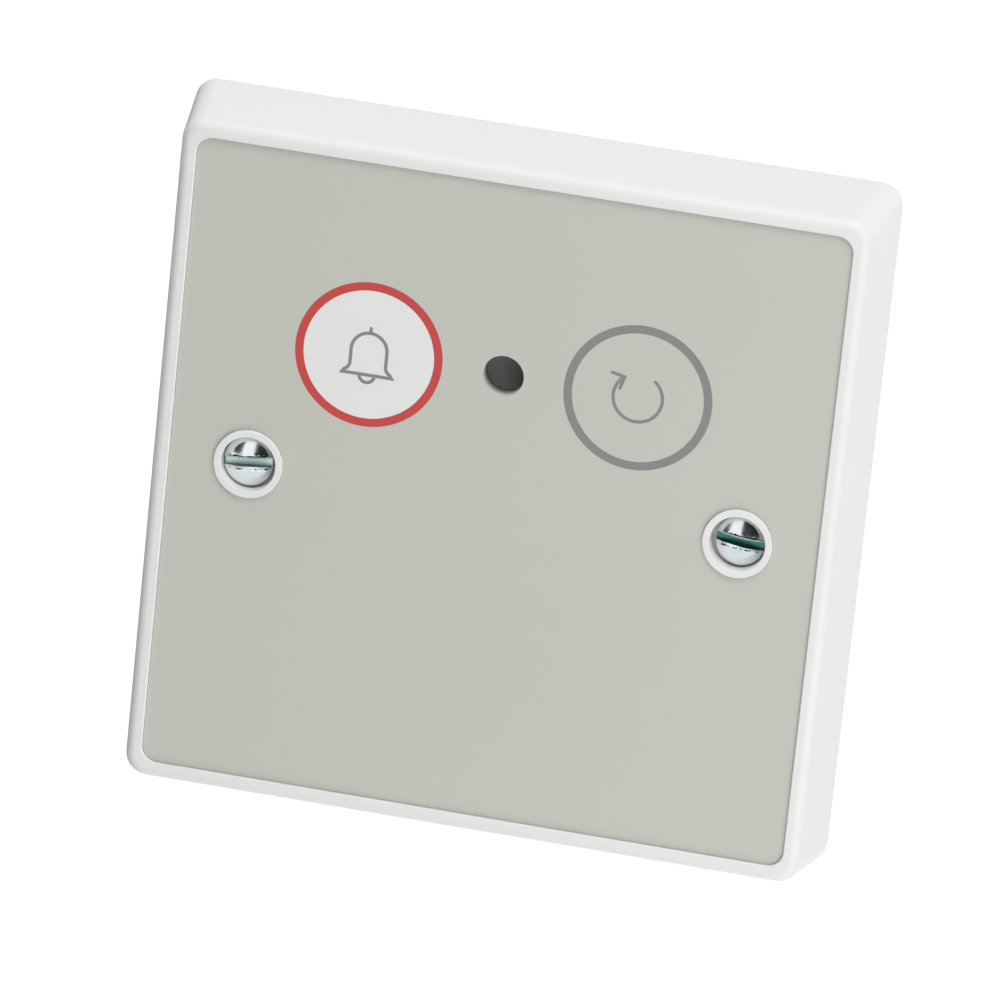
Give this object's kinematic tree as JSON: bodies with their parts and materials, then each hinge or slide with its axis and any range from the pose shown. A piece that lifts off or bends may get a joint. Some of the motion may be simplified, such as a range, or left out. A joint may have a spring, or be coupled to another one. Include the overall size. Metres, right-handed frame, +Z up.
{
  "type": "emergency reset button",
  "caption": "Square white wall plate with a printed label over an alert key and a reset key, a sound port and slotted fixing screws, with its circuit board and wiring terminals behind.",
  "frame": {"origin": "midway between the two fixing screws, on the wall plane that the plate's rear rim rests on", "axes": "+X to the right as seen from the front, +Y into the wall, +Z up; the front faces -Y"},
  "size_m": [0.087, 0.0274, 0.087],
  "materials": {
    "white_moulding": "moulded thermoplastic, satin gloss",
    "key_moulding": "moulded thermoplastic",
    "printed_film": "screen printed polyester, fine matt texture",
    "plated_screw": "zinc plated, clear blue passivated",
    "port_cloth": "thin black acoustic cloth",
    "sounder_case": "moulded black plastic",
    "board_laminate": "glass epoxy laminate under green solder resist",
    "small_screw": "zinc plated",
    "switch_body": "moulded black nylon",
    "switch_cover": "tinned sheet",
    "tinned_leads": "tinned copper alloy",
    "lamp_case": "white case with a clear window",
    "moulded_epoxy": "transfer moulded epoxy",
    "capacitor_can": "drawn can",
    "resistor_body": "glazed ceramic chips with tinned ends",
    "terminal_plastic": "moulded green polyamide",
    "contact_brass": "tinned brass",
    "clamp_brass": "nickel plated brass",
    "terminal_steel": "zinc plated"
  },
  "bodies": {
    "housing": {"alert_lamp": "lamp_case", "alert_switch_base": "switch_body", "alert_switch_cover": "switch_cover", "alert_switch_legs": "tinned_leads", "board_screw_1": "small_screw", "board_screw_2": "small_screw", "chip_resistors": "resistor_body", "circuit_board": "board_laminate", "controller_chip": "moulded_epoxy", "controller_leads": "tinned_leads", "faceplate": "white_moulding", "fixing_screw_left": "plated_screw", "fixing_screw_right": "plated_screw", "overlay_film": "printed_film", "polarity_diode": "moulded_epoxy", "port_gauze": "port_cloth", "reset_switch_base": "switch_body", "reset_switch_cover": "switch_cover", "reset_switch_legs": "tinned_leads", "smoothing_capacitor": "capacitor_can", "sounder": "sounder_case", "sounder_transistor": "moulded_epoxy", "terminal_block": "terminal_plastic", "terminal_contact_1": "contact_brass", "terminal_contact_2": "contact_brass", "terminal_contact_3": "contact_brass"},
    "alert_button": {"alert_key": "key_moulding", "alert_switch_plunger": "switch_body"},
    "reset_button": {"reset_key": "key_moulding", "reset_switch_plunger": "switch_body"},
    "terminal_screw_1_body": {"terminal_screw_1": "terminal_steel"},
    "terminal_clamp_1_body": {"terminal_clamp_1": "clamp_brass"},
    "terminal_screw_2_body": {"terminal_screw_2": "terminal_steel"},
    "terminal_clamp_2_body": {"terminal_clamp_2": "clamp_brass"},
    "terminal_screw_3_body": {"terminal_screw_3": "terminal_steel"},
    "terminal_clamp_3_body": {"terminal_clamp_3": "clamp_brass"}
  },
  "joints": [
    {"name": "alert_press", "type": "slide", "parent": "housing", "child": "alert_button", "axis": [0, 1, 0], "range_m": [0, 0.00025], "stiffness_N_per_m": 3300, "springref_m": -0.0003},
    {"name": "reset_press", "type": "slide", "parent": "housing", "child": "reset_button", "axis": [0, 1, 0], "range_m": [0, 0.00025], "stiffness_N_per_m": 3300, "springref_m": -0.0003},
    {"name": "terminal_screw_1_turn", "type": "hinge", "parent": "housing", "child": "terminal_screw_1_body", "pos_m": [-0.00508, 0.006, -0.019], "axis": [0, -1, 0], "range_deg": [0, 1440]},
    {"name": "terminal_clamp_1_rise", "type": "slide", "parent": "housing", "child": "terminal_clamp_1_body", "axis": [0, 1, 0], "range_m": [0, 0.0018]},
    {"name": "terminal_screw_2_turn", "type": "hinge", "parent": "housing", "child": "terminal_screw_2_body", "pos_m": [0, 0.006, -0.019], "axis": [0, -1, 0], "range_deg": [0, 1440]},
    {"name": "terminal_clamp_2_rise", "type": "slide", "parent": "housing", "child": "terminal_clamp_2_body", "axis": [0, 1, 0], "range_m": [0, 0.0018]},
    {"name": "terminal_screw_3_turn", "type": "hinge", "parent": "housing", "child": "terminal_screw_3_body", "pos_m": [0.00508, 0.006, -0.019], "axis": [0, -1, 0], "range_deg": [0, 1440]},
    {"name": "terminal_clamp_3_rise", "type": "slide", "parent": "housing", "child": "terminal_clamp_3_body", "axis": [0, 1, 0], "range_m": [0, 0.0018]}
  ],
  "couplings": [
    {"joint": "terminal_screw_1_turn", "follows": "terminal_clamp_1_rise", "rad_per_m": 13963},
    {"joint": "terminal_screw_2_turn", "follows": "terminal_clamp_2_rise", "rad_per_m": 13963},
    {"joint": "terminal_screw_3_turn", "follows": "terminal_clamp_3_rise", "rad_per_m": 13963}
  ]
}
